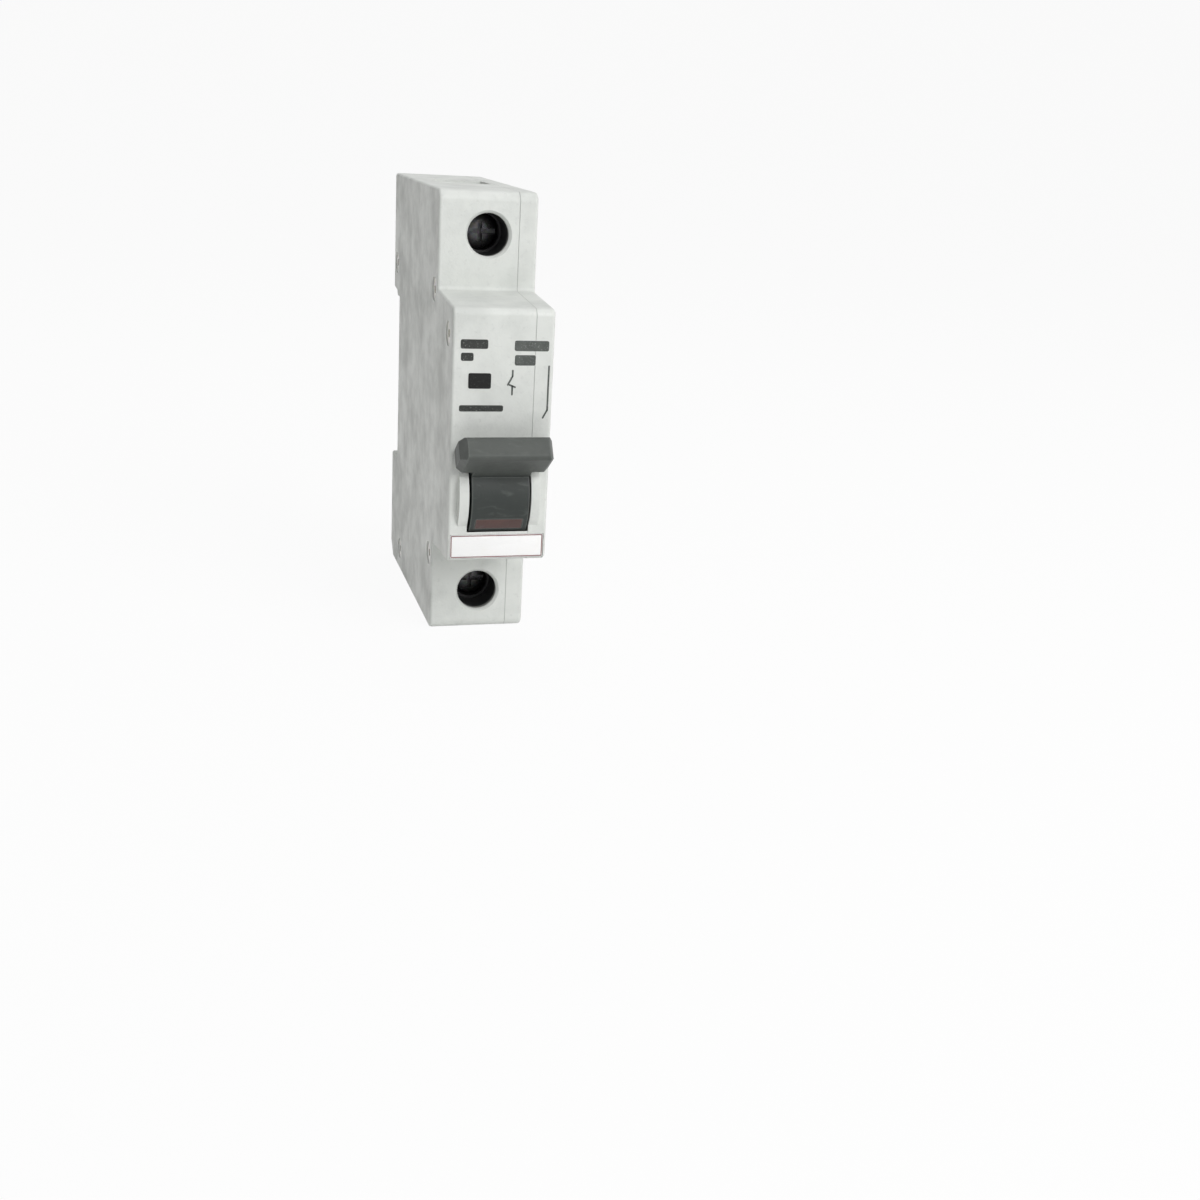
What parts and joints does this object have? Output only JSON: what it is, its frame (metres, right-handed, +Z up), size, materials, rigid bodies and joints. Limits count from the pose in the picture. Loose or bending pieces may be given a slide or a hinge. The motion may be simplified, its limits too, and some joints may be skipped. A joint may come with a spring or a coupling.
{
  "type": "circuit breaker",
  "caption": "One-module rail-mounted miniature circuit breaker with a wide grey toggle, two screw clamp terminals and a sprung rail clip.",
  "frame": {"origin": "centre of the rail seat, where the recess's flat face rests on the rail's front plane", "axes": "+X to the object's right seen from the front, +Y to the rear, +Z up; the toggle faces -Y"},
  "size_m": [0.018, 0.0761, 0.082],
  "materials": {
    "housing": "fine-textured moulded thermoset, light grey",
    "handle_plastic": "fine-textured moulded plastic, dark grey",
    "on_colour": "red-brown inlay",
    "off_colour": "green inlay",
    "steel": "plain steel",
    "spring_steel": "drawn spring wire",
    "zinc_steel": "zinc plated steel",
    "copper": "bare copper",
    "silver": "silver alloy contact",
    "bimetal": "bimetal strip",
    "fibre": "vulcanised fibre",
    "bobbin_plastic": "glass-filled plastic",
    "carrier_plastic": "moulded plastic",
    "clip_plastic": "moulded plastic",
    "label": "blank white card"
  },
  "bodies": {
    "case": {"housing_base": "housing", "housing_cover": "housing", "housing_rivets": "zinc_steel", "handle_pin": "steel", "handle_spring": "spring_steel", "carrier_pin": "steel", "contact_spring": "spring_steel", "fixed_contact_bar": "copper", "fixed_contact_tip": "silver", "trip_lever_pin": "steel", "trip_spring": "spring_steel", "coil_bobbin": "bobbin_plastic", "coil_winding": "copper", "coil_yoke": "steel", "coil_core": "steel", "plunger_spring": "spring_steel", "bimetal_support": "steel", "calibration_screw": "zinc_steel", "flexible_braid": "copper", "line_terminal_plate": "copper", "load_terminal_plate": "copper", "load_strap": "copper", "arc_splitter_plates": "steel", "arc_chute_sides": "fibre", "upper_arc_runner": "copper", "lower_arc_runner": "steel", "vent_baffle": "fibre", "din_clip_spring": "spring_steel", "label_card": "label"},
    "handle": {"handle": "handle_plastic", "handle_on_mark": "on_colour", "handle_off_mark": "off_colour"},
    "link": {"drive_link": "spring_steel"},
    "contact": {"contact_carrier": "carrier_plastic", "contact_arm": "copper", "moving_contact_tip": "silver"},
    "trip_lever": {"trip_lever": "carrier_plastic"},
    "plunger": {"plunger": "steel", "striker_pin": "steel"},
    "bimetal": {"bimetal_strip": "bimetal"},
    "line_screw": {"line_terminal_screw": "zinc_steel"},
    "line_cage": {"line_clamp_cage": "zinc_steel"},
    "load_screw": {"load_terminal_screw": "zinc_steel"},
    "load_cage": {"load_clamp_cage": "zinc_steel"},
    "rail_clip": {"din_clip": "clip_plastic"}
  },
  "joints": [
    {"name": "handle_swing", "type": "hinge", "parent": "case", "child": "handle", "pos_m": [0, -0.054, -0.011], "axis": [1, 0, 0], "range_deg": [0, 68]},
    {"name": "link_swing", "type": "hinge", "parent": "handle", "child": "link", "pos_m": [0, -0.05304, -0.01363], "axis": [1, 0, 0], "range_deg": [-71, 0]},
    {"name": "contact_swing", "type": "hinge", "parent": "case", "child": "contact", "pos_m": [0, -0.038, -0.021], "axis": [1, 0, 0], "range_deg": [-29, 0], "deforming": ["flexible_braid"]},
    {"name": "trip_lever_swing", "type": "hinge", "parent": "case", "child": "trip_lever", "pos_m": [0, -0.0355, -0.0018], "axis": [-1, 0, 0], "range_deg": [0, 8], "stiffness_Nm_per_rad": 0.002, "springref_deg": -11.46},
    {"name": "plunger_slide", "type": "slide", "parent": "case", "child": "plunger", "axis": [0, 0, -1], "range_m": [0, 0.0018], "stiffness_N_per_m": 60, "springref_m": -0.001, "deforming": ["plunger_spring"]},
    {"name": "bimetal_bend", "type": "hinge", "parent": "case", "child": "bimetal", "pos_m": [0, -0.03495, 0.0199], "axis": [1, 0, 0], "range_deg": [0, 1.8], "stiffness_Nm_per_rad": 0.2},
    {"name": "line_screw_turn", "type": "hinge", "parent": "case", "child": "line_screw", "pos_m": [0, -0.035, 0.0334], "axis": [0, 1, 0], "range_deg": [0, 2700]},
    {"name": "line_cage_slide", "type": "slide", "parent": "case", "child": "line_cage", "axis": [0, -1, 0], "range_m": [0, 0.006]},
    {"name": "load_screw_turn", "type": "hinge", "parent": "case", "child": "load_screw", "pos_m": [0, -0.035, -0.0334], "axis": [0, 1, 0], "range_deg": [0, 2700]},
    {"name": "load_cage_slide", "type": "slide", "parent": "case", "child": "load_cage", "axis": [0, -1, 0], "range_m": [0, 0.006]},
    {"name": "rail_clip_slide", "type": "slide", "parent": "case", "child": "rail_clip", "axis": [0, 0, -1], "range_m": [0, 0.004], "stiffness_N_per_m": 400, "springref_m": -0.002, "deforming": ["din_clip_spring"]}
  ],
  "couplings": [
    {"joint": "link_swing", "follows": "handle_swing", "ratio": -1.04},
    {"joint": "contact_swing", "follows": "handle_swing", "ratio": -0.42},
    {"joint": "line_screw_turn", "follows": "line_cage_slide", "rad_per_m": 7854},
    {"joint": "load_screw_turn", "follows": "load_cage_slide", "rad_per_m": 7854}
  ]
}
